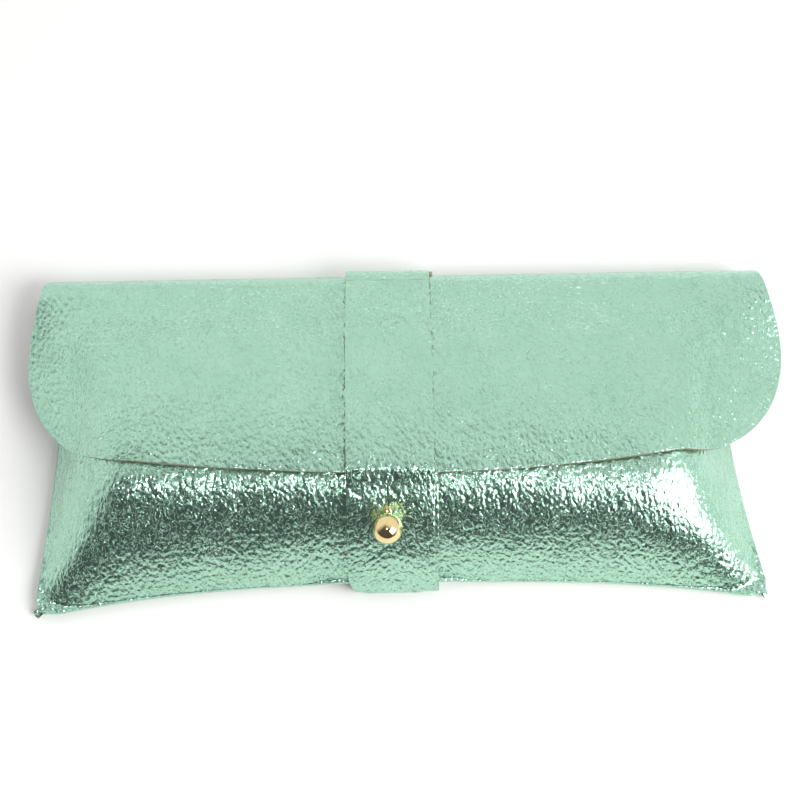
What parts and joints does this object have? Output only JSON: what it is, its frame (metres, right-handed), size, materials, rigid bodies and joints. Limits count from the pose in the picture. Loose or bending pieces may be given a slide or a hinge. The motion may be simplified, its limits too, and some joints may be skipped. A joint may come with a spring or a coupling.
{
  "type": "soft pouch glasses case",
  "caption": "Soft leather pouch for folded spectacles, with a wide flap closed by a keyhole strap over a ball stud.",
  "frame": {"origin": "centre of the case's bounding box in X and Y, on the table plane under its back", "axes": "+X across the case to its right end, +Y up the case to its top fold, +Z out of the back through the front"},
  "size_m": [0.1789, 0.0812, 0.0272],
  "materials": {
    "foil_leather": "metallic mint foil on split leather, crackled",
    "stud_brass": "polished gold-coloured brass",
    "thread": "bonded polyester sewing thread, pale green"
  },
  "bodies": {
    "pouch": {"back_panel": "foil_leather", "front_panel": "foil_leather", "left_seam_stitches": "thread", "right_seam_stitches": "thread", "bottom_seam_stitches": "thread", "strap_back_and_tail": "foil_leather", "strap_back_stitches": "thread", "button_stud": "stud_brass", "button_stud_screw": "stud_brass"},
    "spine": {"fold_leather": "foil_leather", "strap_over_fold": "foil_leather"},
    "flap": {"flap": "foil_leather"},
    "strap": {"strap_tongue": "foil_leather"}
  },
  "joints": [
    {"name": "spine_fold", "type": "hinge", "parent": "pouch", "child": "spine", "pos_m": [0, 0.03828, 0.00272], "axis": [-1, 0, 0], "range_deg": [0, 78]},
    {"name": "flap_fold", "type": "hinge", "parent": "spine", "child": "flap", "pos_m": [0, 0.03828, 0.00908], "axis": [-1, 0, 0], "range_deg": [0, 78]},
    {"name": "strap_lift", "type": "hinge", "parent": "flap", "child": "strap", "pos_m": [-0.0036, 0.0371, 0.0109], "axis": [-1, 0, 0], "range_deg": [0, 100]}
  ],
  "couplings": [
    {"joint": "flap_fold", "follows": "spine_fold", "ratio": 1}
  ]
}
